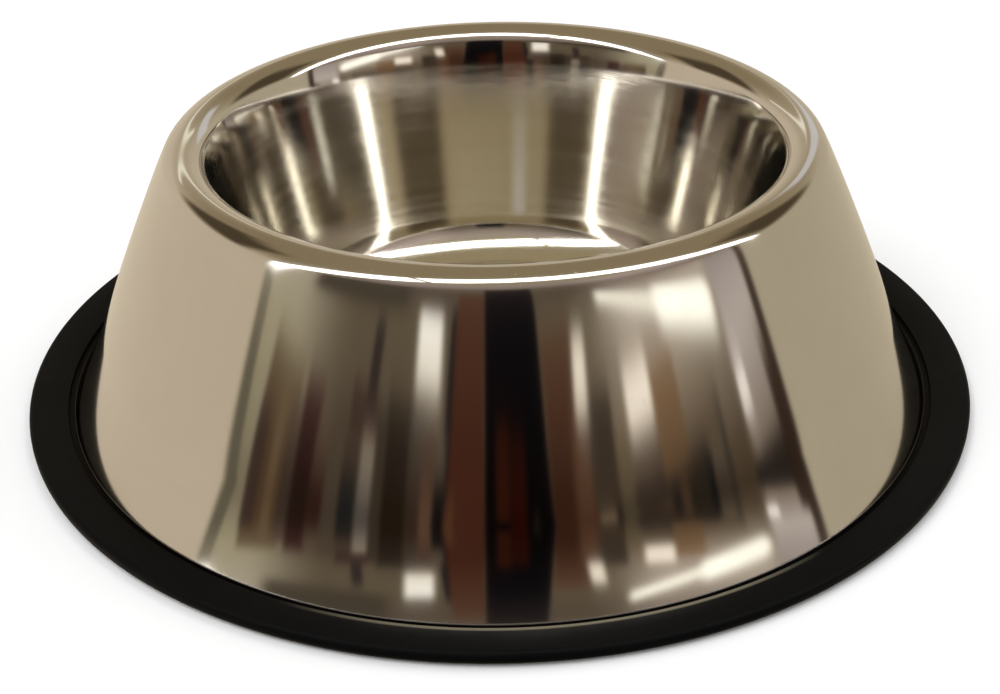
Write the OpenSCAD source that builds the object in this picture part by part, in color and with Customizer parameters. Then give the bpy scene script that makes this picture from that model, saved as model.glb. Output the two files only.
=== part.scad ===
// Non-tip feeding bowl: one deep-drawn steel sheet that stands in a rubber anti-skid ring.
// Everything is spun about Z. The origin is on the table, in the middle of the ring.

/* [Steel bowl] */
// Height of the crown's top above the table
bowl_h = 70; // [60:0.5:84]
// Diameter of the circle that runs along the crown's top
crown_d = 157; // [140:0.5:172]
// Thickness of the steel sheet
sheet_t = 0.6; // [0.4:0.1:1.2]

/* [Crown] */
// Bend radius on the crown's outer side
crown_outer_bend = 5.8; // [3:0.1:8]
// Bend radius on the crown's inner side
crown_inner_bend = 6; // [4:0.1:9]

/* [Dish] */
// Angle above the horizontal at which the crown's inner bend ends, in degrees
shoulder_angle = 20.5; // [16:0.5:30]
// Radius of the wide shoulder below the crown's inner bend
shoulder_bend = 50; // [30:1:80]
// Slope of the dish's wall from the vertical, in degrees
wall_draft = 13.5; // [4:0.5:15]
// Radius of the corner between the dish's wall and its floor
corner_bend = 15.5; // [8:0.5:22]
// Height of the dish's floor above the table
floor_h = 4.5; // [3:0.25:12]

/* [Skirt] */
// Slope of the skirt from the vertical just below the crown, in degrees
skirt_top_slope = 29.5; // [20:0.5:34]
// Slope of the skirt from the vertical at its foot, where it turns into the flare, in degrees
skirt_foot_slope = 20; // [16:0.5:24]
// Share of the skirt's length over which it holds its upper slope
skirt_top_share = 0.12; // [0.08:0.01:0.3]
// Share of the skirt's length over which it holds its lower slope
skirt_foot_share = 0.25; // [0.1:0.01:0.4]

/* [Foot] */
// Slope of the flare from the vertical just above the flange, in degrees
flare_foot_slope = 34.5; // [30:0.5:42]
// Radius of the flare's hollow curve
flare_bend = 84; // [60:1:110]
// Diameter at which the foot's tight bend runs out into the flange
foot_d = 228.5; // [205:0.5:240]
// Radius of the tight bend between the flare and the flange
foot_bend = 0.8; // [0.6:0.1:1.5]
// Width of the flat flange outside the tight bend
flange_w = 4.2; // [3.8:0.1:7]

/* [Rubber ring] */
// Thickness of the rubber under the flange
ring_base_t = 1; // [0.8:0.1:3]
// Width of the rubber under the flange
ring_base_w = 8; // [5:0.25:12]
// Thickness of the lip over the flange, at its inner edge
lip_t = 1; // [0.8:0.1:2]
// Width of the lip over the flange
lip_w = 3.35; // [2:0.05:3.8]
// Rounding of the lip's inner edge
lip_round = 0.35; // [0.2:0.05:0.6]
// Rise of the ring's domed top above the lip's edge
ring_rise = 1.2; // [0.8:0.1:3]
// Width of the ring outside the flange
ring_wall_w = 6.45; // [5:0.05:10]
// Rounding of the ring's outer upper edge
ring_top_bend = 1.2; // [0.8:0.1:1.5]
// Rounding of the ring's outer lower edge
ring_foot_bend = 2.2; // [0.4:0.1:2.4]
// Clearance around the flange in the ring's groove
groove_gap = 0.1; // [0.05:0.05:0.2]

/* [Hidden] */
// Angles of the surface normal, counted up from the outward direction
outward = atan2(0, 1);
upward = atan2(1, 0);
inward = atan2(0, -1);
downward = atan2(-1, 0);
// Steps of each round stretch
corner_steps = 10;
shoulder_steps = 2;
crown_steps = 9;
skirt_steps = 12;
flare_steps = 8;
foot_steps = 6;
rubber_steps = 6;
turn_facets = 180;

crown_r = crown_d / 2;
foot_r = foot_d / 2;
flange_r = foot_r + flange_w;
flange_top_z = ring_base_t + sheet_t;

// Unit direction at an angle
function direction(angle) = [cos(angle), sin(angle)];
// A station is a point of the sheet's show face and the angle of the normal there
function station(point, angle) = [point[0], point[1], angle];
// Stations of an arc; a hollow arc has a negative radius
function bend(centre, radius, from, to, steps) =
    [for (i = [0:steps])
        let (angle = from + (to - from) * i / steps)
        station(centre + radius * direction(angle), angle)];
// The same list without its first station, which the stretch before it already has
function onward(stations) = [for (i = [1:len(stations) - 1]) stations[i]];
// Points at a depth below the show face
function sunk(stations, depth) =
    [for (s = stations) [s[0], s[1]] - depth * direction(s[2])];
function reversed(list) = [for (i = [len(list) - 1:-1:0]) list[i]];

// Crown: two bends that share the crown's top
crown_outer_c = [crown_r, bowl_h - crown_outer_bend];
crown_inner_c = [crown_r, bowl_h - crown_inner_bend];

// Dish: the shoulder touches the crown's inner bend, and the corner touches the wall and the floor
shoulder_normal = inward - shoulder_angle;
wall_normal = inward - wall_draft;
shoulder_c = crown_inner_c + (crown_inner_bend - shoulder_bend) * direction(shoulder_normal);
wall_top = shoulder_c + shoulder_bend * direction(wall_normal);
corner_z = floor_h + corner_bend;
corner_r = wall_top[0] + ((corner_z - wall_top[1]) * sin(wall_draft) - corner_bend) / cos(wall_draft);

// Foot: a tight bend on the flange, then the flare's wide hollow curve, which touches it
foot_c = [foot_r, flange_top_z + foot_bend];
flare_foot = foot_c - foot_bend * direction(flare_foot_slope);
flare_c = flare_foot + flare_bend * direction(flare_foot_slope);

// Skirt: a smooth curve from the crown's outer bend to the top of the flare
skirt_top = crown_outer_c + crown_outer_bend * direction(skirt_top_slope);
skirt_foot = flare_c - flare_bend * direction(skirt_foot_slope);
skirt_l = norm(skirt_foot - skirt_top);
skirt_ctrl = [
    skirt_top,
    skirt_top - skirt_top_share * skirt_l * direction(skirt_top_slope + upward),
    skirt_foot + skirt_foot_share * skirt_l * direction(skirt_foot_slope + upward),
    skirt_foot
];
function curve_point(c, t) =
    pow(1 - t, 3) * c[0] + 3 * pow(1 - t, 2) * t * c[1] + 3 * (1 - t) * pow(t, 2) * c[2] + pow(t, 3) * c[3];
function curve_run(c, t) =
    pow(1 - t, 2) * (c[1] - c[0]) + 2 * (1 - t) * t * (c[2] - c[1]) + pow(t, 2) * (c[3] - c[2]);
function skirt_stations() =
    [for (i = [0:skirt_steps])
        let (t = i / skirt_steps, run = curve_run(skirt_ctrl, t))
        station(curve_point(skirt_ctrl, t), atan2(run[0], -run[1]))];

// The sheet's show face from the middle of the dish's floor, over the crown, to the flange's edge
function sheet_stations() = concat(
    [station([0, floor_h], upward)],
    bend([corner_r, corner_z], -corner_bend, upward, wall_normal, corner_steps),
    bend(shoulder_c, shoulder_bend, wall_normal, shoulder_normal, shoulder_steps),
    onward(bend(crown_inner_c, crown_inner_bend, shoulder_normal, upward, crown_steps)),
    onward(bend(crown_outer_c, crown_outer_bend, upward, skirt_top_slope, crown_steps)),
    onward(skirt_stations()),
    onward(bend(flare_c, -flare_bend, skirt_foot_slope, flare_foot_slope, flare_steps)),
    onward(bend(foot_c, -foot_bend, flare_foot_slope, upward, foot_steps)),
    [station([flange_r, flange_top_z], upward)]
);

// Ring: a groove round the flange, a domed top tangent to the lip's edge, and a round outer side
groove_r = flange_r + groove_gap;
lip_r = flange_r - lip_w;
lip_under_z = flange_top_z + groove_gap;
lip_top_z = lip_under_z + lip_t;
ring_h = lip_top_z + ring_rise;
ring_r = groove_r + ring_wall_w;
ring_inner_r = flange_r - ring_base_w;
lip_c = [lip_r + lip_round, lip_top_z - lip_round];
crest_r = ring_r - ring_top_bend;
dome_run = crest_r - lip_c[0];
dome_rise = ring_h - lip_c[1];
dome_bend = (pow(dome_run, 2) + pow(dome_rise, 2) - pow(lip_round, 2)) / (2 * ring_rise);
dome_c = [crest_r, ring_h - dome_bend];
dome_normal = atan2(lip_c[1] - dome_c[1], lip_c[0] - dome_c[0]);
function ring_stations() = concat(
    bend(lip_c, lip_round, inward, dome_normal, rubber_steps),
    onward(bend(dome_c, dome_bend, dome_normal, upward, rubber_steps)),
    onward(bend([crest_r, ring_h - ring_top_bend], ring_top_bend, upward, outward, rubber_steps)),
    bend([ring_r - ring_foot_bend, ring_foot_bend], ring_foot_bend, outward, downward, rubber_steps)
);

module steel_bowl() {
    face = sheet_stations();
    color("silver")
        rotate_extrude($fn = turn_facets)
            polygon(concat(sunk(face, 0), reversed(sunk(face, sheet_t))));
}

module rubber_ring() {
    color([0.08, 0.08, 0.085])
        rotate_extrude($fn = turn_facets)
            polygon(concat(
                sunk(ring_stations(), 0),
                [
                    [ring_inner_r, 0],
                    [ring_inner_r, ring_base_t],
                    [groove_r, ring_base_t],
                    [groove_r, lip_under_z],
                    [lip_r, lip_under_z]
                ]
            ));
}

steel_bowl();
rubber_ring();
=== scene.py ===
# Non-tip feeding bowl: a spun steel dish that stands in a black rubber ring.
import bpy
import math
from mathutils import Matrix, Vector


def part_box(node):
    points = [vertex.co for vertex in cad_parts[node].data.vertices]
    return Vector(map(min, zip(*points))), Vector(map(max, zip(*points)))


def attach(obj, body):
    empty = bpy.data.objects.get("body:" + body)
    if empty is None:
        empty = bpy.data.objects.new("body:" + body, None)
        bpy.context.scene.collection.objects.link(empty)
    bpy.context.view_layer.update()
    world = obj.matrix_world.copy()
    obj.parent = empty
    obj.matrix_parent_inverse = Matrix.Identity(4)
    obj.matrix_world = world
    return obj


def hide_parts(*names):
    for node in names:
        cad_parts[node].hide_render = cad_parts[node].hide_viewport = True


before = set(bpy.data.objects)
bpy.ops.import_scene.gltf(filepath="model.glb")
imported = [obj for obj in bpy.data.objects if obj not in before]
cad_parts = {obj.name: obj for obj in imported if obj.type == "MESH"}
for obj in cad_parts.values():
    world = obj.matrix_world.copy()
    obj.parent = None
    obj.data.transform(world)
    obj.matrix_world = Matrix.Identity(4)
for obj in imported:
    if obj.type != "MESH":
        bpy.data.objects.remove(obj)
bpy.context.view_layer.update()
steelLow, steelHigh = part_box("steel_bowl")
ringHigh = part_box("rubber_ring")[1]

outward = 0.0
upward = math.pi / 2
inward = math.pi
downward = -math.pi / 2
sameSpot = 1e-7
turnSteps = 320  # faces round each spun piece


# Profiles: a station is a place (radius, height) and the surface normal's angle, counted up from outward.
def direction(angle):
    return Vector((math.cos(angle), math.sin(angle)))


def arc(centre, radius, start, end, steps):
    angles = [start + (end - start) * i / steps for i in range(steps + 1)]
    return [(centre + radius * direction(angle), angle) for angle in angles]


def flat(start, end, angle, steps=1):
    return [(start.lerp(end, i / steps), angle) for i in range(steps + 1)]


def bow(a, b, c, d, steps):
    stations = []
    for i in range(steps + 1):
        t = i / steps
        s = 1 - t
        place = s ** 3 * a + 3 * s * s * t * b + 3 * s * t * t * c + t ** 3 * d
        run = s * s * (b - a) + 2 * s * t * (c - b) + t * t * (d - c)
        stations.append((place, math.atan2(run.x, -run.y)))
    return stations


def otherSide(stretch, depth):
    return [(place - depth * direction(angle), angle - math.pi) for place, angle in reversed(stretch)]


# Spins stretches of a profile about Z. Each face corner gets the exact normal of its own stretch.
def spin(name, stretches, closed=False):
    rows, bands = [], []
    for stretch in stretches:
        for (start, startAngle), (end, endAngle) in zip(stretch, stretch[1:]):
            if not rows:
                rows.append(start)
            rows.append(end)
            bands.append((len(rows) - 2, len(rows) - 1, startAngle, endAngle))
    if closed:
        rows.pop()
    vertices, ringOf = [], []
    for place in rows:
        first = len(vertices)
        if place.x < sameSpot:
            vertices.append((0, 0, place.y))
            ringOf.append([first] * turnSteps)
            continue
        for k in range(turnSteps):
            turn = math.tau * k / turnSteps
            vertices.append((place.x * math.cos(turn), place.x * math.sin(turn), place.y))
        ringOf.append(list(range(first, first + turnSteps)))
    faces, normals = [], []
    for i, j, startAngle, endAngle in bands:
        j = j % len(rows)
        for k in range(turnSteps):
            after = (k + 1) % turnSteps
            corners = [(ringOf[i][k], startAngle, k), (ringOf[j][k], endAngle, k),
                       (ringOf[j][after], endAngle, k + 1), (ringOf[i][after], startAngle, k + 1)]
            if corners[1][0] == corners[2][0]:
                corners.pop(2)
            if corners[0][0] == corners[-1][0]:
                corners.pop()
            faces.append([vertex for vertex, _, _ in corners])
            for _, angle, step in corners:
                turn = math.tau * step / turnSteps
                across = math.cos(angle)
                normals.append((across * math.cos(turn), across * math.sin(turn), math.sin(angle)))
    mesh = bpy.data.meshes.new(name)
    mesh.from_pydata(vertices, [], faces)
    mesh.update()
    mesh.shade_smooth()
    mesh.normals_split_custom_set(normals)
    piece = bpy.data.objects.new(name, mesh)
    bpy.context.scene.collection.objects.link(piece)
    return piece


# Node helpers: inputs are given by name or number, as values or as sockets to link.
def addNode(tree, kind, inputs=None, **settings):
    made = tree.nodes.new(kind)
    for key, value in settings.items():
        setattr(made, key, value)
    for key, value in (inputs or {}).items():
        if isinstance(value, bpy.types.NodeSocket):
            tree.links.new(value, made.inputs[key])
        else:
            made.inputs[key].default_value = value
    return made


def sums(tree, operation, first, second=0.0, third=0.0, clamp=False):
    inputs = {0: first, 1: second, 2: third}
    return addNode(tree, "ShaderNodeMath", inputs, operation=operation, use_clamp=clamp).outputs[0]


def mapped(tree, value, low, high, newLow=0.0, newHigh=1.0, smooth=False):
    inputs = {"Value": value, "From Min": low, "From Max": high, "To Min": newLow, "To Max": newHigh}
    kind = "SMOOTHSTEP" if smooth else "LINEAR"
    return addNode(tree, "ShaderNodeMapRange", inputs, interpolation_type=kind).outputs["Result"]


def mixed(tree, share, first, second):
    return addNode(tree, "ShaderNodeMix", {0: share, 6: first, 7: second}, data_type="RGBA").outputs[2]


def newGroup(name, inputs, outputs):
    tree = bpy.data.node_groups.new(name, "ShaderNodeTree")
    for label, value in inputs.items():
        socket = tree.interface.new_socket(label, in_out="INPUT", socket_type="NodeSocketFloat")
        socket.default_value = value
    for label in outputs:
        tree.interface.new_socket(label, in_out="OUTPUT", socket_type="NodeSocketFloat")
    entry = tree.nodes.new("NodeGroupInput")
    leave = tree.nodes.new("NodeGroupOutput")
    return tree, entry.outputs, leave.inputs


def placed(tree, group, values):
    made = addNode(tree, "ShaderNodeGroup", node_tree=group)
    for label, value in values.items():
        made.inputs[label].default_value = value
    return made.outputs


def newMaterial(name):
    material = bpy.data.materials.new(name)
    material.use_nodes = True
    tree = material.node_tree
    shader = tree.nodes["Principled BSDF"]
    return material, tree, shader


# The place on the piece, with its height, its radius from the axis and its direction around it.
def cylindrical(tree):
    place = addNode(tree, "ShaderNodeTexCoord").outputs["Object"]
    axes = addNode(tree, "ShaderNodeSeparateXYZ", {"Vector": place}).outputs
    level = addNode(tree, "ShaderNodeCombineXYZ", {"X": axes["X"], "Y": axes["Y"]}).outputs[0]
    radius = addNode(tree, "ShaderNodeVectorMath", {0: level}, operation="LENGTH").outputs["Value"]
    around = addNode(tree, "ShaderNodeVectorMath", {0: level}, operation="NORMALIZE").outputs["Vector"]
    return {"place": place, "height": axes["Z"], "radius": radius, "around": around}


# Fine lines left by polishing while the sheet turns: they run round the piece.
lineFacts = {
    "fineDetail": 3.0,
    "coarseScale": 0.12,
    "coarseDetail": 2.0,
    "streakLow": 0.35,
    "streakHigh": 0.65,
}


def makeTurnedLines():
    defaults = {"Lines per metre": 4000.0, "Breaks": 6.0}
    tree, given, out = newGroup("turnedLines", defaults, ("Height", "Streaks"))
    where = cylindrical(tree)
    across = sums(tree, "MULTIPLY", where["radius"], given["Lines per metre"])
    along = sums(tree, "MULTIPLY", where["height"], given["Lines per metre"])
    turn = addNode(tree, "ShaderNodeVectorMath", {0: where["around"], 3: given["Breaks"]}, operation="SCALE")
    turnAxes = addNode(tree, "ShaderNodeSeparateXYZ", {"Vector": turn.outputs[0]}).outputs
    spot = addNode(tree, "ShaderNodeCombineXYZ", {"X": across, "Y": along, "Z": turnAxes["X"]}).outputs[0]
    fine = {"Vector": spot, "W": turnAxes["Y"], "Scale": 1.0, "Detail": lineFacts["fineDetail"]}
    fine = addNode(tree, "ShaderNodeTexNoise", fine, noise_dimensions="4D").outputs["Fac"]
    coarse = {"Vector": spot, "W": turnAxes["Y"], "Scale": lineFacts["coarseScale"],
              "Detail": lineFacts["coarseDetail"]}
    coarse = addNode(tree, "ShaderNodeTexNoise", coarse, noise_dimensions="4D").outputs["Fac"]
    tree.links.new(fine, out["Height"])
    tree.links.new(mapped(tree, coarse, lineFacts["streakLow"], lineFacts["streakHigh"]), out["Streaks"])
    return tree


# Soft cloudy patches, such as wiping marks and old water.
cloudFacts = {
    "detail": 5.0,
    "roughness": 0.62,
    "distortion": 0.6,
    "middle": 0.5,
}


def makeCloudyMarks():
    tree, given, out = newGroup("cloudyMarks", {"Size": 30.0, "Spread": 0.1}, ("Mask",))
    place = addNode(tree, "ShaderNodeTexCoord").outputs["Object"]
    cloud = {"Vector": place, "Scale": given["Size"], "Detail": cloudFacts["detail"],
             "Roughness": cloudFacts["roughness"], "Distortion": cloudFacts["distortion"]}
    cloud = addNode(tree, "ShaderNodeTexNoise", cloud).outputs["Fac"]
    low = sums(tree, "SUBTRACT", cloudFacts["middle"], given["Spread"])
    high = sums(tree, "ADD", cloudFacts["middle"], given["Spread"])
    tree.links.new(mapped(tree, cloud, low, high), out["Mask"])
    return tree


# Small specks that settle where the surface looks up.
speckFacts = {
    "patchScale": 45.0,
    "patchDetail": 3.0,
    "patchFrom": 0.4,
    "patchTo": 0.75,
    "edge": 0.08,
    "levelFrom": 0.2,
    "levelTo": 0.9,
}


def makeSpecks():
    tree, given, out = newGroup("specks", {"Scale": 900.0, "Amount": 0.3}, ("Mask",))
    place = addNode(tree, "ShaderNodeTexCoord").outputs["Object"]
    cells = addNode(tree, "ShaderNodeTexVoronoi", {"Vector": place, "Scale": given["Scale"]})
    patch = {"Vector": place, "Scale": speckFacts["patchScale"], "Detail": speckFacts["patchDetail"]}
    patch = addNode(tree, "ShaderNodeTexNoise", patch).outputs["Fac"]
    patch = mapped(tree, patch, speckFacts["patchFrom"], speckFacts["patchTo"])
    size = sums(tree, "MULTIPLY", patch, given["Amount"])
    spots = mapped(tree, sums(tree, "SUBTRACT", size, cells.outputs["Distance"]), 0.0, speckFacts["edge"])
    facing = addNode(tree, "ShaderNodeNewGeometry").outputs["Normal"]
    level = addNode(tree, "ShaderNodeSeparateXYZ", {"Vector": facing}).outputs["Z"]
    level = mapped(tree, level, speckFacts["levelFrom"], speckFacts["levelTo"])
    tree.links.new(sums(tree, "MULTIPLY", spots, level), out["Mask"])
    return tree


turnedLines = makeTurnedLines()
cloudyMarks = makeCloudyMarks()
specks = makeSpecks()
print("shared node groups made")


# Steel bowl: one drawn sheet, from the dish's floor over the crown and down the skirt to a flat flange.
bowlForm = {
    "sheet": 0.0006,
    "crownDiameter": 0.157,
    "crownOuterBend": 0.0058,
    "crownInnerBend": 0.006,
    "shoulderAngle": math.radians(20.5),
    "shoulderBend": 0.05,
    "wallDraft": math.radians(13.5),
    "cornerBend": 0.0155,
    "floorHeight": 0.0045,
    "skirtTopSlope": math.radians(29.5),
    "skirtFootSlope": math.radians(20),
    "skirtTopShare": 0.12,
    "skirtFootShare": 0.25,
    "flareFootSlope": math.radians(34.5),
    "flareBend": 0.084,
    "footBend": 0.0008,
    "flangeWidth": 0.0042,
}
bowlSteps = {
    "floor": 12,
    "corner": 28,
    "wall": 14,
    "shoulder": 8,
    "crown": 20,
    "skirt": 44,
    "flare": 28,
    "foot": 10,
    "flange": 3,
}
steelFinish = {
    "colour": (0.62, 0.595, 0.56, 1.0),
    "stainColour": (0.57, 0.54, 0.495, 1.0),
    "satinColour": (0.75, 0.73, 0.67, 1.0),
    # Painted shade: the flange in the gap beside the ring is coloured near black and made rough.
    "gapShadeColour": (0.004, 0.0035, 0.004, 1.0),
    "polishedRoughness": 0.07,
    "satinRoughness": 0.065,
    "gapShadeRoughness": 0.6,
    "satinTop": 0.0585,  # height below which the dish is satin
    "satinRadius": 0.078,
    "blend": 0.004,
    "gapShadeRadius": 0.1133,  # where the painted shade of the gap beside the ring begins
    "gapShadeBlend": 0.0003,
    "anisotropy": 0.75,
    "acrossLines": 0.25,  # quarter turn, so that the lines blur across their run
    "linesPerMetre": 3600.0,
    "lineBreaks": 5.0,
    "lineStrength": 0.05,
    "lineDepth": 0.0002,
    "polishedLines": 0.05,  # share of the lines that polishing leaves
    "cloudSize": 26.0,
    "cloudSpread": 0.14,
    "speckScale": 700.0,
    "speckAmount": 0.2,
    "stainShare": 0.5,
    "streakRoughness": 0.05,
    "cloudRoughness": 0.015,
    "speckRoughness": 0.2,
}


def bowlProfile():
    form = bowlForm
    crownRadius = form["crownDiameter"] / 2
    crownTop = steelHigh.z
    outerBend, innerBend = form["crownOuterBend"], form["crownInnerBend"]
    outerCentre = Vector((crownRadius, crownTop - outerBend))
    innerCentre = Vector((crownRadius, crownTop - innerBend))
    shoulderNormal = inward - form["shoulderAngle"]
    wallNormal = inward - form["wallDraft"]
    shoulderCentre = innerCentre + (innerBend - form["shoulderBend"]) * direction(shoulderNormal)
    wallTop = shoulderCentre + form["shoulderBend"] * direction(wallNormal)
    draft, corner = form["wallDraft"], form["cornerBend"]
    cornerHeight = form["floorHeight"] + corner
    cornerRadius = wallTop.x + ((cornerHeight - wallTop.y) * math.sin(draft) - corner) / math.cos(draft)
    cornerCentre = Vector((cornerRadius, cornerHeight))
    wallFoot = cornerCentre - corner * direction(wallNormal)
    flangeTop = steelLow.z + form["sheet"]
    footRadius = steelHigh.x - form["flangeWidth"]
    footBend, flareBend = form["footBend"], form["flareBend"]
    footCentre = Vector((footRadius, flangeTop + footBend))
    flareCentre = footCentre + (flareBend - footBend) * direction(form["flareFootSlope"])
    skirtTop = outerCentre + outerBend * direction(form["skirtTopSlope"])
    skirtFoot = flareCentre - flareBend * direction(form["skirtFootSlope"])
    reach = (skirtFoot - skirtTop).length
    topPull = skirtTop - form["skirtTopShare"] * reach * direction(form["skirtTopSlope"] + upward)
    footPull = skirtFoot + form["skirtFootShare"] * reach * direction(form["skirtFootSlope"] + upward)
    floorCentre = Vector((0, form["floorHeight"]))
    floorEdge = Vector((cornerRadius, form["floorHeight"]))
    flangeStart = Vector((footRadius, flangeTop))
    flangeEnd = Vector((steelHigh.x, flangeTop))
    steps = bowlSteps
    return [
        flat(floorCentre, floorEdge, upward, steps["floor"]),
        arc(cornerCentre, -corner, upward, wallNormal, steps["corner"]),
        flat(wallFoot, wallTop, wallNormal, steps["wall"]),
        arc(shoulderCentre, form["shoulderBend"], wallNormal, shoulderNormal, steps["shoulder"]),
        arc(innerCentre, innerBend, shoulderNormal, upward, steps["crown"]),
        arc(outerCentre, outerBend, upward, form["skirtTopSlope"], steps["crown"]),
        bow(skirtTop, topPull, footPull, skirtFoot, steps["skirt"]),
        arc(flareCentre, -flareBend, form["skirtFootSlope"], form["flareFootSlope"], steps["flare"]),
        arc(footCentre, -footBend, form["flareFootSlope"], upward, steps["foot"]),
        flat(flangeStart, flangeEnd, upward, steps["flange"]),
    ]


def steelMaterial():
    finish = steelFinish
    material, tree, shader = newMaterial("drawnSteel")
    where = cylindrical(tree)
    satinTop, satinRadius, blend = finish["satinTop"], finish["satinRadius"], finish["blend"]
    belowTop = mapped(tree, where["height"], satinTop, satinTop + blend, 1.0, 0.0, smooth=True)
    inside = mapped(tree, where["radius"], satinRadius, satinRadius + blend, 1.0, 0.0)
    satin = sums(tree, "MULTIPLY", belowTop, inside)
    # Painted shade: past this radius the flange under the ring's lip is darkened, in place of the gap's
    # shadow.
    gapShade = mapped(tree, where["radius"], finish["gapShadeRadius"], finish["gapShadeRadius"] + finish["gapShadeBlend"])
    lines = {"Lines per metre": finish["linesPerMetre"], "Breaks": finish["lineBreaks"]}
    lines = placed(tree, turnedLines, lines)
    clouds = placed(tree, cloudyMarks, {"Size": finish["cloudSize"], "Spread": finish["cloudSpread"]})
    marks = placed(tree, specks, {"Scale": finish["speckScale"], "Amount": finish["speckAmount"]})
    stain = sums(tree, "MULTIPLY", clouds["Mask"], finish["stainShare"])
    tint = mixed(tree, stain, finish["colour"], finish["stainColour"])
    tint = mixed(tree, satin, tint, finish["satinColour"])
    tint = mixed(tree, gapShade, tint, finish["gapShadeColour"])
    rough = mapped(tree, satin, 0.0, 1.0, finish["polishedRoughness"], finish["satinRoughness"])
    streaks = sums(tree, "MULTIPLY", lines["Streaks"], satin)
    rough = sums(tree, "MULTIPLY_ADD", streaks, finish["streakRoughness"], rough)
    rough = sums(tree, "MULTIPLY_ADD", clouds["Mask"], finish["cloudRoughness"], rough)
    rough = sums(tree, "MULTIPLY_ADD", marks["Mask"], finish["speckRoughness"], rough, clamp=True)
    rough = mapped(tree, gapShade, 0.0, 1.0, rough, finish["gapShadeRoughness"])
    lineShare = mapped(tree, satin, 0.0, 1.0, finish["polishedLines"], 1.0)
    lineHeight = sums(tree, "MULTIPLY", lines["Height"], lineShare)
    brushed = {"Height": lineHeight, "Strength": finish["lineStrength"], "Distance": finish["lineDepth"]}
    brushed = addNode(tree, "ShaderNodeBump", brushed)
    tangent = addNode(tree, "ShaderNodeTangent", direction_type="RADIAL", axis="Z")
    tree.links.new(tint, shader.inputs["Base Color"])
    tree.links.new(rough, shader.inputs["Roughness"])
    tree.links.new(brushed.outputs[0], shader.inputs["Normal"])
    tree.links.new(tangent.outputs[0], shader.inputs["Tangent"])
    shader.inputs["Metallic"].default_value = 1.0
    shader.inputs["Anisotropic"].default_value = finish["anisotropy"]
    shader.inputs["Anisotropic Rotation"].default_value = finish["acrossLines"]
    return material


def buildBowl():
    face = bowlProfile()
    sheet = bowlForm["sheet"]
    edge = Vector((steelHigh.x, steelLow.z))
    back = [otherSide(stretch, sheet) for stretch in reversed(face)]
    cutEdge = flat(face[-1][-1][0], edge, outward)
    bowl = spin("steelBowl", face + [cutEdge] + back)
    bowl.data.materials.append(steelMaterial())
    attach(bowl, "root")
    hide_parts("steel_bowl")


buildBowl()
print("steel bowl spun")


# Rubber ring: a moulded ring whose groove holds the flange.
ringForm = {
    "baseThickness": 0.001,
    "baseWidth": 0.008,
    "lipThickness": 0.001,
    "lipWidth": 0.00335,
    "lipRound": 0.00035,
    "rise": 0.0012,
    "topBend": 0.0012,
    "footBend": 0.0022,
    "innerRound": 0.0003,
    "clearance": 0.0001,
}
ringSteps = {
    "lip": 8,
    "dome": 12,
    "outerTop": 12,
    "outerFoot": 8,
    "underside": 6,
    "innerRound": 5,
    "groove": 3,
}
rubberFinish = {
    "colour": (0.0028, 0.0028, 0.003, 1.0),
    "dustColour": (0.02, 0.0185, 0.0165, 1.0),
    # Painted highlight: a pale band on the lip's inner edge, strongest toward the front.
    "lipHighlightColour": (0.17, 0.15, 0.105, 1.0),
    "lipHighlightWidth": 0.0011,  # width of the painted highlight on the lip's edge at the front
    "lipHighlightFade": 1.5,  # the painted highlight is gone at this many widths
    "lipHighlightTurn": math.radians(7),
    "lipHighlightReach": (0.84, 0.985),  # cosines of the turn at which the painted highlight starts and is full
    "roughness": 0.45,
    "cloudRoughness": 0.12,
    "dustRoughness": 0.2,
    "specular": 0.05,
    "grain": 0.12,
    "grainDepth": 0.0001,
    "pebbleScale": 2400.0,
    "pebbleDetail": 2.0,
    "lineShare": 0.4,
    "linesPerMetre": 2600.0,
    "lineBreaks": 3.0,
    "cloudSize": 40.0,
    "cloudSpread": 0.16,
    "dustScale": 1100.0,
    "dustAmount": 0.3,
    "cloudTint": 0.05,
    "dustTint": 0.5,
}


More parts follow.
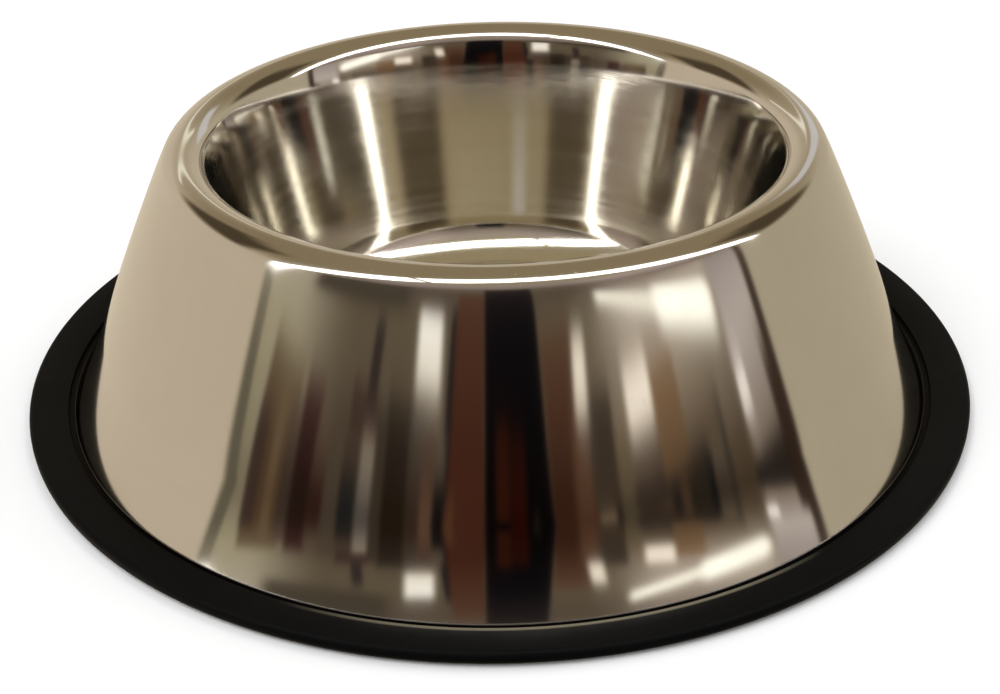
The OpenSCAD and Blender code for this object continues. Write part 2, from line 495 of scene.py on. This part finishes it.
def ringProfile():
    form = ringForm
    flangeTop = steelLow.z + bowlForm["sheet"]
    grooveRadius = steelHigh.x + form["clearance"]
    lipRadius = steelHigh.x - form["lipWidth"]
    lipUnder = flangeTop + form["clearance"]
    lipTop = lipUnder + form["lipThickness"]
    innerRadius = steelHigh.x - form["baseWidth"]
    lipCentre = Vector((lipRadius + form["lipRound"], lipTop - form["lipRound"]))
    crestRadius = ringHigh.x - form["topBend"]
    run, rise = crestRadius - lipCentre.x, ringHigh.z - lipCentre.y
    domeBend = (run ** 2 + rise ** 2 - form["lipRound"] ** 2) / (2 * form["rise"])
    domeCentre = Vector((crestRadius, ringHigh.z - domeBend))
    domeNormal = math.atan2(lipCentre.y - domeCentre.y, lipCentre.x - domeCentre.x)
    topCentre = Vector((crestRadius, ringHigh.z - form["topBend"]))
    footCentre = Vector((ringHigh.x - form["footBend"], form["footBend"]))
    small = form["innerRound"]
    lowCentre = Vector((innerRadius + small, small))
    highCentre = Vector((innerRadius + small, form["baseThickness"] - small))
    seatStart = Vector((innerRadius + small, form["baseThickness"]))
    seatEnd = Vector((grooveRadius, form["baseThickness"]))
    grooveTop = Vector((grooveRadius, lipUnder))
    lipFoot = Vector((lipRadius, lipUnder))
    steps = ringSteps
    return [
        arc(lipCentre, form["lipRound"], inward, domeNormal, steps["lip"]),
        arc(domeCentre, domeBend, domeNormal, upward, steps["dome"]),
        arc(topCentre, form["topBend"], upward, outward, steps["outerTop"]),
        flat(Vector((ringHigh.x, topCentre.y)), Vector((ringHigh.x, footCentre.y)), outward),
        arc(footCentre, form["footBend"], outward, downward, steps["outerFoot"]),
        flat(Vector((footCentre.x, 0)), Vector((lowCentre.x, 0)), downward, steps["underside"]),
        arc(lowCentre, small, downward, -inward, steps["innerRound"]),
        flat(Vector((innerRadius, lowCentre.y)), Vector((innerRadius, highCentre.y)), inward),
        arc(highCentre, small, inward, upward, steps["innerRound"]),
        flat(seatStart, seatEnd, upward, steps["groove"]),
        flat(seatEnd, grooveTop, inward),
        flat(grooveTop, lipFoot, downward, steps["groove"]),
        flat(lipFoot, Vector((lipRadius, lipCentre.y)), inward),
    ]


def rubberMaterial():
    finish = rubberFinish
    material, tree, shader = newMaterial("mouldedRubber")
    where = cylindrical(tree)
    clouds = placed(tree, cloudyMarks, {"Size": finish["cloudSize"], "Spread": finish["cloudSpread"]})
    dust = placed(tree, specks, {"Scale": finish["dustScale"], "Amount": finish["dustAmount"]})
    lines = {"Lines per metre": finish["linesPerMetre"], "Breaks": finish["lineBreaks"]}
    lines = placed(tree, turnedLines, lines)
    dustShare = sums(tree, "MULTIPLY", dust["Mask"], finish["dustTint"])
    bloom = sums(tree, "MULTIPLY_ADD", clouds["Mask"], finish["cloudTint"], dustShare, clamp=True)
    tint = mixed(tree, bloom, finish["colour"], finish["dustColour"])
    # Painted highlight: pale colour on the lip's inner edge, fading with the turn away from the front.
    front = (math.sin(finish["lipHighlightTurn"]), -math.cos(finish["lipHighlightTurn"]), 0)
    facing = addNode(tree, "ShaderNodeVectorMath", {0: where["around"], 1: front}, operation="DOT_PRODUCT")
    facing = mapped(tree, facing.outputs["Value"], *finish["lipHighlightReach"], smooth=True)
    lipEdge = steelHigh.x - ringForm["lipWidth"]
    lipHighlightEnd = lipEdge + finish["lipHighlightWidth"]
    fadeEnd = lipEdge + finish["lipHighlightWidth"] * finish["lipHighlightFade"]
    lipHighlight = sums(tree, "MULTIPLY", mapped(tree, where["radius"], lipHighlightEnd, fadeEnd, 1.0, 0.0), facing)
    tint = mixed(tree, lipHighlight, tint, finish["lipHighlightColour"])
    rough = sums(tree, "MULTIPLY_ADD", clouds["Mask"], finish["cloudRoughness"], finish["roughness"])
    rough = sums(tree, "MULTIPLY_ADD", dust["Mask"], finish["dustRoughness"], rough)
    pebble = {"Vector": where["place"], "Scale": finish["pebbleScale"], "Detail": finish["pebbleDetail"]}
    pebble = addNode(tree, "ShaderNodeTexNoise", pebble).outputs["Fac"]
    height = sums(tree, "MULTIPLY_ADD", lines["Height"], finish["lineShare"], pebble)
    grain = {"Height": height, "Strength": finish["grain"], "Distance": finish["grainDepth"]}
    grain = addNode(tree, "ShaderNodeBump", grain)
    tree.links.new(tint, shader.inputs["Base Color"])
    tree.links.new(rough, shader.inputs["Roughness"])
    tree.links.new(grain.outputs[0], shader.inputs["Normal"])
    shader.inputs["Specular IOR Level"].default_value = finish["specular"]
    return material


def buildRing():
    ring = spin("rubberRing", ringProfile(), closed=True)
    ring.data.materials.append(rubberMaterial())
    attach(ring, "root")
    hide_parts("rubber_ring")


buildRing()
print("rubber ring spun")


# Surroundings that the steel mirrors. Azimuth 0 is toward the camera and grows to the right, in degrees.
# Tones are written as they show in the steel, in display values up to 255.
surround = {
    "centre": Vector((0, 0, 0.03)),
    "distance": 9.0,
    "low": -3.0,  # below this elevation a shape keeps its lowest tone and its place
    "soft": 1.7,  # usual softness of a shape's sides in degrees
    "softTop": 3.2,
}
paper = {
    "left": (182, 166, 143),
    "right": (163, 150, 126),
    "sideBlend": 0.8,
    "high": (128, 113, 86),
    "bend": (11, 40),
    "leftEdge": -75.4,
    "rightEdge": 83.4,
    "lean": -0.16,
    "leanTop": 18.0,
    "blend": 1.0,
}
# Tones of the three walls, by elevation.
leftWall = [
    (-90, (104, 94, 76)), (0, (118, 108, 86)), (10, (152, 142, 114)), (18, (158, 148, 126)),
    (28, (146, 134, 114)), (40, (134, 121, 100)), (58, (128, 114, 88)), (90, (128, 114, 88)),
]
middleWall = [
    (-90, (48, 36, 26)), (0, (52, 40, 30)), (8, (60, 48, 38)), (14, (88, 76, 60)), (20, (92, 80, 62)),
    (26, (80, 69, 56)), (32, (104, 91, 78)), (40, (128, 114, 104)), (50, (140, 126, 110)),
    (60, (130, 116, 90)), (90, (128, 114, 88)),
]
rightWall = [
    (-90, (44, 35, 26)), (0, (52, 41, 31)), (6, (78, 63, 47)), (12, (140, 124, 104)),
    (18, (166, 151, 134)), (25, (126, 111, 98)), (34, (142, 126, 118)), (42, (158, 142, 130)),
    (52, (140, 126, 104)), (60, (130, 116, 90)), (90, (128, 114, 88)),
]
wallRamps = {"left": (-66, -42), "right": (20, 42)}
# Shapes in the room, in degrees. A later one covers an earlier one. "lean" moves the sides with the
# elevation, "slope" tilts the top and foot, "soft" and "top" say how soft the sides and the top are.
roomShapes = {
    "edgeLine": {"azimuth": (-74.6, -71.2), "elevation": (-60, 15), "soft": 1.2, "lean": -0.2,
                 "tones": ((88, 80, 64), (92, 84, 68), (130, 120, 100))},
    "ochrePost": {"azimuth": (-67.6, -56.6), "elevation": (-60, 10.6), "top": 3.0,
                  "tones": ((70, 52, 34), (72, 54, 36), (100, 84, 62))},
    "ochreShade": {"azimuth": (-67.8, -64.2), "elevation": (-60, 6), "top": 4.0,
                   "tones": ((56, 42, 34),)},
    "ochreLight": {"azimuth": (-62.2, -59.6), "elevation": (-60, 9), "top": 3.0,
                   "tones": ((84, 64, 44), (96, 80, 58))},
    "khakiShade": {"azimuth": (-58.2, -54.4), "elevation": (-60, 9), "top": 3.0,
                   "tones": ((54, 42, 33), (54, 43, 34), (86, 68, 56))},
    "maroonPost": {"azimuth": (-55, -49.4), "elevation": (-60, 10.8),
                   "tones": ((30, 20, 13), (34, 19, 15), (60, 34, 31))},
    "maroonSide": {"azimuth": (-50, -45.8), "elevation": (-60, 9.5), "top": 3.0,
                   "tones": ((42, 25, 18), (44, 26, 20), (86, 72, 56))},
    "tanSlat": {"azimuth": (-45.9, -41.8), "elevation": (-60, 9.8), "top": 2.4,
                "tones": ((62, 50, 38), (64, 53, 42), (74, 62, 49))},
    "slatePost": {"azimuth": (-41.8, -37.2), "elevation": (-60, 7), "top": 3.0,
                  "tones": ((24, 26, 22), (26, 26, 24), (34, 30, 27))},
    "redBand": {"azimuth": (-41.4, -33), "elevation": (10.4, 13.4), "top": 1.4, "soft": 1.4,
                "tones": ((60, 42, 34),)},
    "paleSlat": {"azimuth": (-37.2, -33), "elevation": (-60, 10.6), "top": 1.4,
                 "tones": ((70, 63, 55), (78, 70, 63), (134, 121, 103))},
    "slateStub": {"azimuth": (-39, -36.2), "elevation": (12.6, 18.6), "lean": 0.12, "soft": 1.2,
                  "tones": ((46, 38, 34),)},
    "darkRail": {"azimuth": (-59, -28), "elevation": (19.4, 28), "soft": 5.0, "top": 3.0, "slope": 0.12,
                 "tones": ((64, 56, 44), (72, 62, 52))},
    "oliveDark": {"azimuth": (-31, -23.6), "elevation": (-60, 14), "soft": 1.6,
                  "tones": ((28, 21, 12), (30, 22, 13), (42, 34, 27))},
    "oliveLight": {"azimuth": (-33.4, -30.6), "elevation": (-60, 13), "top": 2.0,
                   "tones": ((46, 38, 28), (56, 46, 36))},
    "brownSlat": {"azimuth": (-24.4, -20.6), "elevation": (-60, 14), "soft": 1.4,
                  "tones": ((44, 32, 22), (47, 34, 24), (66, 56, 46))},
    "copperSlat": {"azimuth": (-20.8, -17.4), "elevation": (-60, 13), "top": 2.0,
                   "tones": ((78, 56, 40), (84, 60, 44), (62, 44, 34))},
    "blackPost": {"azimuth": (-17.7, -14.9), "elevation": (-60, 9), "lean": 0.05,
                  "tones": ((10, 9, 8), (14, 11, 9))},
    "darkStem": {"azimuth": (-15.6, -12.4), "elevation": (6, 15), "lean": 0.12, "top": 2.4,
                 "tones": ((20, 17, 16),)},
    "darkKnob": {"azimuth": (-17.2, -11), "elevation": (13, 22.6), "soft": 1.4, "lean": 0.15, "top": 3.4,
                 "tones": ((23, 20, 20), (34, 30, 28))},
    "brownLeft": {"azimuth": (-14.8, -4.4), "elevation": (-60, 27), "lean": 0.1, "top": 4.0,
                  "keepRight": True, "tones": ((64, 33, 22), (63, 33, 22), (82, 57, 41))},
    "brownEdge": {"azimuth": (-14.6, -12.6), "elevation": (-60, 8), "lean": 0.1,
                  "tones": ((76, 48, 30),)},
    "blackCore": {"azimuth": (-4.2, 13.6), "elevation": (-60, 31), "soft": 1.0, "top": 5.0, "lean": -0.1,
                  "keepLeft": True, "tones": ((6, 4, 4), (6, 4, 4), (12, 10, 12), (40, 33, 30))},
    "rustHigh": {"azimuth": (-1.4, 2.4), "elevation": (4.6, 14.2), "top": 1.8,
                 "tones": ((42, 17, 8),)},
    "rustLow": {"azimuth": (2.2, 6.4), "elevation": (-60, 13.4),
                "tones": ((30, 5, 3), (34, 7, 4), (36, 13, 7))},
    "steelGlint": {"azimuth": (8, 9.2), "elevation": (-60, 6),
                   "tones": ((27, 21, 16),)},
    "brownRight": {"azimuth": (13.8, 23.6), "elevation": (-60, 20), "lean": -0.08, "top": 4.0,
                   "tones": ((50, 26, 16), (51, 28, 18), (88, 63, 46))},
    "brownPale": {"azimuth": (19, 24.2), "elevation": (-60, 14), "soft": 2.2,
                  "tones": ((62, 37, 25), (84, 58, 40))},
    "paleFoot": {"azimuth": (24.6, 29), "elevation": (-60, 4.2),
                 "tones": ((95, 79, 60),)},
    "shadeAbove": {"azimuth": (23.6, 30.6), "elevation": (4.4, 14.4), "top": 1.6,
                   "tones": ((57, 45, 34), (54, 44, 34))},
    "darkSlot": {"azimuth": (28.9, 30.5), "elevation": (-60, 5),
                 "tones": ((38, 28, 24),)},
    "tanRight": {"azimuth": (30.6, 34.9), "elevation": (-60, 11), "top": 2.4,
                 "tones": ((66, 56, 41), (68, 58, 42), (104, 88, 65))},
    "brownPanel": {"azimuth": (35, 44), "elevation": (-60, 10), "top": 2.4,
                   "tones": ((44, 35, 27), (46, 36, 28), (84, 65, 46))},
    "panelLight": {"azimuth": (40, 43.8), "elevation": (-60, 3),
                   "tones": ((57, 43, 31),)},
    "beam": {"azimuth": (34, 55), "elevation": (2.4, 6), "top": 1.4, "soft": 2.0,
             "tones": ((44, 34, 27),)},
    "darkLine": {"azimuth": (43.9, 46.2), "elevation": (-60, 4),
                 "tones": ((27, 22, 20),)},
    "copperPost": {"azimuth": (42.6, 50.6), "elevation": (5.4, 13.2), "top": 1.6,
                   "tones": ((88, 66, 44), (124, 96, 68))},
    "tanLine": {"azimuth": (46.4, 48.6), "elevation": (-60, 4),
                "tones": ((62, 45, 31),)},
    "darkPanel": {"azimuth": (48.6, 54.4), "elevation": (-60, 5), "top": 2.4,
                  "tones": ((32, 26, 18),)},
    "blackLine": {"azimuth": (54.2, 56.2), "elevation": (-60, 5), "top": 2.4,
                  "tones": ((9, 9, 9), (14, 13, 12))},
    "olivePanel": {"azimuth": (56.4, 67), "elevation": (-60, 5), "top": 3.0,
                   "tones": ((54, 43, 33), (56, 45, 35), (86, 76, 60))},
    "thinPost": {"azimuth": (60.2, 61.8), "elevation": (-60, 7),
                 "tones": ((40, 33, 25), (62, 56, 44))},
    "paleRight": {"azimuth": (62, 71), "elevation": (-60, 9), "soft": 1.4, "top": 4.0,
                  "tones": ((58, 46, 32), (74, 60, 44), (120, 106, 90))},
    "palePanel": {"azimuth": (68.6, 88), "elevation": (0, 24), "top": 4.0, "soft": 3.4,
                  "tones": ((112, 98, 84), (176, 163, 152), (148, 136, 128), (128, 114, 102))},
    "lowShade": {"azimuth": (68, 83), "elevation": (-60, -0.6), "top": 2.0,
                 "tones": ((36, 29, 23), (38, 31, 27))},
    "rightEdge": {"azimuth": (78.6, 83.6), "elevation": (-60, 5), "soft": 2.0, "top": 4.0,
                  "tones": ((42, 30, 22), (54, 39, 29))},
    "rightEdgeHigh": {"azimuth": (80.8, 84), "elevation": (3, 19), "soft": 1.6, "top": 6.0,
                      "tones": ((48, 36, 28), (76, 62, 50))},
    "shelf": {"azimuth": (30.5, 67.5), "elevation": (16.2, 18.6), "glow": 1.05, "slope": -0.28, "soft": 3.0,
              "top": 1.6, "tones": ((255, 248, 228),)},
    "shelfEnd": {"azimuth": (49, 67), "elevation": (12.6, 17.2), "glow": 1.1, "slope": -0.28, "soft": 4.0,
                 "top": 2.4, "tones": ((255, 250, 232),)},
    "lampLeft": {"azimuth": (-24, -16.6), "elevation": (15.4, 21.6), "soft": 2.4, "top": 2.6,
                 "tones": ((232, 220, 200), (255, 250, 238))},
    "lampSmall": {"azimuth": (17.8, 21.6), "elevation": (13.6, 18.8), "soft": 1.9, "top": 2.6, "lean": 0.2,
                  "tones": ((240, 228, 206),)},
    "lampRight": {"azimuth": (35, 42.6), "elevation": (10.4, 14.6), "soft": 2.2, "top": 2.4,
                  "tones": ((246, 232, 212),)},
    "glintRight": {"azimuth": (68.6, 71.8), "elevation": (3.8, 6.6), "soft": 1.4, "top": 1.6,
                   "tones": ((240, 228, 216),)},
}


def linear(value):
    share = value / 255
    return share / 12.92 if share <= 0.04045 else ((share + 0.055) / 1.055) ** 2.4


def asSeenInSteel(tone):
    return [linear(value) / steelFinish["colour"][i] for i, value in enumerate(tone)]


def blendTones(first, second, share):
    return tuple(a + (b - a) * share for a, b in zip(first, second))


def stepUp(value, low, high):
    share = min(max((value - low) / (high - low), 0.0), 1.0)
    return share * share * (3 - 2 * share)


# One between two limits and zero outside, with soft ends.
def softSpan(value, low, high, soft):
    half = soft / 2
    return stepUp(value, low - half, low + half) * (1 - stepUp(value, high - half, high + half))


# The tone at a height between the stops of a wall's ladder.
def ladderTone(ladder, high):
    for (lowHeight, lowTone), (topHeight, topTone) in zip(ladder, ladder[1:]):
        if high <= topHeight:
            return blendTones(lowTone, topTone, (high - lowHeight) / (topHeight - lowHeight))


def shapeTone(facts, high, low, top):
    tones = facts["tones"]
    if len(tones) == 1:
        return tones[0]
    start = max(low, surround["low"])
    spot = min(max((high - start) / (top - start), 0.0), 1.0) * (len(tones) - 1)
    k = min(int(spot), len(tones) - 2)
    return blendTones(tones[k], tones[k + 1], spot - k)


def roomTone(side, high):
    leftShare = 1 - stepUp(side, *wallRamps["left"])
    rightShare = stepUp(side, *wallRamps["right"])
    tone = ladderTone(middleWall, high)
    tone = blendTones(tone, ladderTone(leftWall, high), leftShare)
    tone = blendTones(tone, ladderTone(rightWall, high), rightShare)
    for facts in roomShapes.values():
        soft, softTop = facts.get("soft", surround["soft"]), facts.get("top", surround["softTop"])
        lean = facts.get("lean", 0.0) * max(high, surround["low"])
        left = facts["azimuth"][0] + (0.0 if facts.get("keepLeft") else lean)
        right = facts["azimuth"][1] + (0.0 if facts.get("keepRight") else lean)
        if side < left - soft or side > right + soft:
            continue
        tilt = facts.get("slope", 0.0) * (side - (left + right) / 2)
        low, top = facts["elevation"][0] + tilt, facts["elevation"][1] + tilt
        if high < low - softTop or high > top + softTop:
            continue
        cover = softSpan(side, left, right, soft) * softSpan(high, low, top, softTop)
        shine = facts.get("glow", 1.0)
        tone = blendTones(tone, [shine * value for value in shapeTone(facts, high, low, top)], cover)
    return tone


# Soft shapes behind the bowl, mirrored twice in the dish.
behindShapes = {
    "paleDoor": {"azimuth": (152, 164), "elevation": (10, 30), "soft": 3.0,
                 "tone": (184, 178, 172)},
    "darkLeft": {"azimuth": (228, 268), "elevation": (20, 46), "soft": 12.0,
                 "tone": (70, 58, 42)},
    "darkRight": {"azimuth": (96, 132), "elevation": (20, 46), "soft": 12.0,
                  "tone": (70, 58, 42)},
    "paleSill": {"azimuth": (172, 214), "elevation": (23, 24.6), "soft": 1.6,
                 "tone": (230, 222, 200)},
}


# The tone of the surroundings in one direction: white paper all round, the room between its edges.
def surroundTone(side, high):
    sideShare = stepUp(math.sin(math.radians(side)), -paper["sideBlend"], paper["sideBlend"])
    tone = blendTones(paper["left"], paper["right"], sideShare)
    tone = blendTones(tone, paper["high"], stepUp(high, *paper["bend"]))
    leftEdge = paper["leftEdge"] + paper["lean"] * min(max(high, surround["low"]), paper["leanTop"])
    inRoom = softSpan(side, leftEdge, paper["rightEdge"], 2 * paper["blend"])
    if inRoom > 0:
        return blendTones(tone, roomTone(side, high), inRoom)
    for facts in behindShapes.values():
        cover = softSpan(side, *facts["azimuth"], facts["soft"])
        cover *= softSpan(high, *facts["elevation"], facts["soft"])
        tone = blendTones(tone, facts["tone"], cover)
    return tone


def glowMaterial():
    material = bpy.data.materials.new("surroundGlow")
    material.use_nodes = True
    tree = material.node_tree
    tree.nodes.clear()
    tone = addNode(tree, "ShaderNodeAttribute", attribute_name="tone")
    shine = addNode(tree, "ShaderNodeEmission", {"Color": tone.outputs["Color"]})
    clear = addNode(tree, "ShaderNodeBsdfTransparent")
    both = {0: tone.outputs["Alpha"], 1: clear.outputs[0], 2: shine.outputs[0]}
    both = addNode(tree, "ShaderNodeMixShader", both)
    addNode(tree, "ShaderNodeOutputMaterial", {"Surface": both.outputs[0]})
    return material


surroundGlow = glowMaterial()


# A sheet of glowing faces from rows of (place, tone and cover); only mirrored rays see it.
def glowSheet(name, rows):
    width = len(rows[0])
    vertices = [place for row in rows for place, _ in row]
    tones = [value for row in rows for _, tone in row for value in tone]
    faces = []
    for j in range(len(rows) - 1):
        for i in range(width - 1):
            corner = j * width + i
            faces.append((corner, corner + 1, corner + width + 1, corner + width))
    mesh = bpy.data.meshes.new(name)
    mesh.from_pydata(vertices, [], faces)
    attribute = mesh.attributes.new("tone", "FLOAT_COLOR", "POINT")
    attribute.data.foreach_set("color", tones)
    mesh.materials.append(surroundGlow)
    piece = bpy.data.objects.new(name, mesh)
    bpy.context.scene.collection.objects.link(piece)
    for way in ("camera", "diffuse", "transmission", "volume_scatter", "shadow"):
        setattr(piece, "visible_" + way, False)


# The sheet of surroundings is fine where the room shows and coarser elsewhere, in degrees.
sheetSteps = {
    "roomStart": -78,
    "roomEnd": 88,
    "roomStep": 0.5,
    "backStep": 1.5,
    "lowStart": -90,
    "lowStep": 6,
    "highStart": 30,
    "highStep": 2,
    "highEnd": 90,
}


def evenSteps(start, end, step):
    count = round((end - start) / step)
    return [start + (end - start) * i / count for i in range(count)]


def buildSurround():
    steps = sheetSteps
    sideEnd = steps["roomStart"] + 360
    sides = evenSteps(steps["roomStart"], steps["roomEnd"], steps["roomStep"])
    sides += evenSteps(steps["roomEnd"], sideEnd, steps["backStep"]) + [sideEnd]
    heights = evenSteps(steps["lowStart"], surround["low"], steps["lowStep"])
    heights += evenSteps(surround["low"], steps["highStart"], steps["roomStep"])
    heights += evenSteps(steps["highStart"], steps["highEnd"], steps["highStep"]) + [steps["highEnd"]]
    rows = []
    for high in heights:
        row = []
        for side in sides:
            a, e = math.radians(side), math.radians(high)
            way = Vector((math.cos(e) * math.sin(a), -math.cos(e) * math.cos(a), math.sin(e)))
            tone = asSeenInSteel(surroundTone(side, high)) + [1.0]
            row.append((surround["centre"] + surround["distance"] * way, tone))
        rows.append(row)
    glowSheet("surroundings", rows)


# The long row of lights overhead, seen as the white lines on crown and dish. Places are in metres.
longLight = {
    "height": 1.5,
    "line": [(-6.0, -1.4), (-3.0, -1.2), (0.0, -0.58), (1.9, -0.36), (6.6, 0.19)],
    "halfWidth": 0.18,
    "step": 0.1,
    "soft": 0.07,
    "endSoft": 2.2,
    "breaks": (-0.5, 1.51),
    "breakWidth": 0.06,
    "glow": (4.4, 4.3, 4.1),
}


# The line's place across the room at a place along it.
def lineAt(x):
    for (firstX, firstY), (nextX, nextY) in zip(longLight["line"], longLight["line"][1:]):
        if x <= nextX:
            return firstY + (nextY - firstY) * (x - firstX) / (nextX - firstX)
    return longLight["line"][-1][1]


def buildLongLight():
    soft, half, height = longLight["soft"], longLight["halfWidth"], longLight["height"]
    first, last = longLight["line"][0][0], longLight["line"][-1][0]
    gap = longLight["breakWidth"] / 2
    cuts = [first] + [x + side for x in longLight["breaks"] for side in (-gap, gap)] + [last]
    for number, (start, end) in enumerate(zip(cuts[::2], cuts[1::2])):
        rows = []
        for x in evenSteps(start, end, longLight["step"]) + [end]:
            fade = stepUp(x, first, first + longLight["endSoft"])
            fade *= 1 - stepUp(x, last - longLight["endSoft"], last)
            middle = lineAt(x)
            covers = [(-half - soft, 0.0), (-half, fade), (half, fade), (half + soft, 0.0)]
            places = [Vector((x, middle + y, height)) for y, _ in covers]
            rows.append([(place, [*longLight["glow"], cover]) for place, (_, cover) in zip(places, covers)])
        glowSheet("longLight%d" % (number + 1), rows)


buildSurround()
buildLongLight()
print("surroundings hung")


# Floor, world and lamps.
studio = {
    "floorSize": 9.0,
    "floorColour": (0.9, 0.9, 0.9, 1.0),
    "floorRoughness": 0.9,
    "floorSpecular": 0.1,
    "ambient": 0.75,
    "lamps": {
        "keyLamp": {"place": (-0.9, -0.5, 1.7), "size": 1.3, "power": 17.0},
        "fillLamp": {"place": (1.2, 0.4, 1.4), "size": 1.5, "power": 8.0},
    },
}


def buildFloor():
    half = studio["floorSize"] / 2
    mesh = bpy.data.meshes.new("floor")
    corners = [(-half, -half, 0), (half, -half, 0), (half, half, 0), (-half, half, 0)]
    mesh.from_pydata(corners, [], [(0, 1, 2, 3)])
    floor = bpy.data.objects.new("floor", mesh)
    bpy.context.scene.collection.objects.link(floor)
    material, _, shader = newMaterial("floorPaper")
    shader.inputs["Base Color"].default_value = studio["floorColour"]
    shader.inputs["Roughness"].default_value = studio["floorRoughness"]
    shader.inputs["Specular IOR Level"].default_value = studio["floorSpecular"]
    mesh.materials.append(material)
    floor.visible_glossy = False


def buildWorld():
    world = bpy.data.worlds.new("studio")
    world.use_nodes = True
    bpy.context.scene.world = world
    tree = world.node_tree
    background = tree.nodes["Background"]
    path = addNode(tree, "ShaderNodeLightPath").outputs
    seen = sums(tree, "MAXIMUM", path["Is Camera Ray"], path["Is Glossy Ray"])
    seen = sums(tree, "MAXIMUM", seen, path["Is Transmission Ray"])
    tree.links.new(mapped(tree, seen, 0.0, 1.0, studio["ambient"], 1.0), background.inputs["Strength"])
    background.inputs["Color"].default_value = (1.0, 1.0, 1.0, 1.0)


def buildLamps():
    for name, facts in studio["lamps"].items():
        light = bpy.data.lights.new(name, "AREA")
        light.energy = facts["power"]
        light.size = facts["size"]
        lamp = bpy.data.objects.new(name, light)
        bpy.context.scene.collection.objects.link(lamp)
        lamp.location = facts["place"]
        lamp.rotation_euler = (-Vector(facts["place"])).to_track_quat("-Z", "Y").to_euler()
        lamp.visible_glossy = False


# The camera's place, aim and lens were worked out from the outline in the photograph.
cameraFacts = {
    "distance": 0.38436,
    "height": 0.22754,
    "aimHeight": 0.00494,
    "yaw": 0.00096,
    "roll": -0.01853,
    "lens": 58.515,
    "sensor": 36.0,
    "clipStart": 0.01,
}


def buildCamera():
    facts = cameraFacts
    data = bpy.data.cameras.new("camera")
    data.lens = facts["lens"]
    data.sensor_width = facts["sensor"]
    data.sensor_fit = "HORIZONTAL"
    data.clip_start = facts["clipStart"]
    camera = bpy.data.objects.new("camera", data)
    bpy.context.scene.collection.objects.link(camera)
    place = Vector((0, -facts["distance"], facts["height"]))
    across = math.sin(facts["yaw"]) * facts["distance"]
    along = math.cos(facts["yaw"]) * facts["distance"]
    ahead = Vector((across, along, facts["aimHeight"] - facts["height"])).normalized()
    right = ahead.cross(Vector((0, 0, 1))).normalized()
    above = right.cross(ahead)
    rolledRight = math.cos(facts["roll"]) * right + math.sin(facts["roll"]) * above
    rolledUp = math.cos(facts["roll"]) * above - math.sin(facts["roll"]) * right
    turn = Matrix((rolledRight, rolledUp, -ahead)).transposed()
    camera.matrix_world = Matrix.Translation(place) @ turn.to_4x4()
    bpy.context.scene.camera = camera


buildFloor()
buildWorld()
buildLamps()
buildCamera()
bpy.context.scene.view_settings.view_transform = "Standard"
print("studio set")
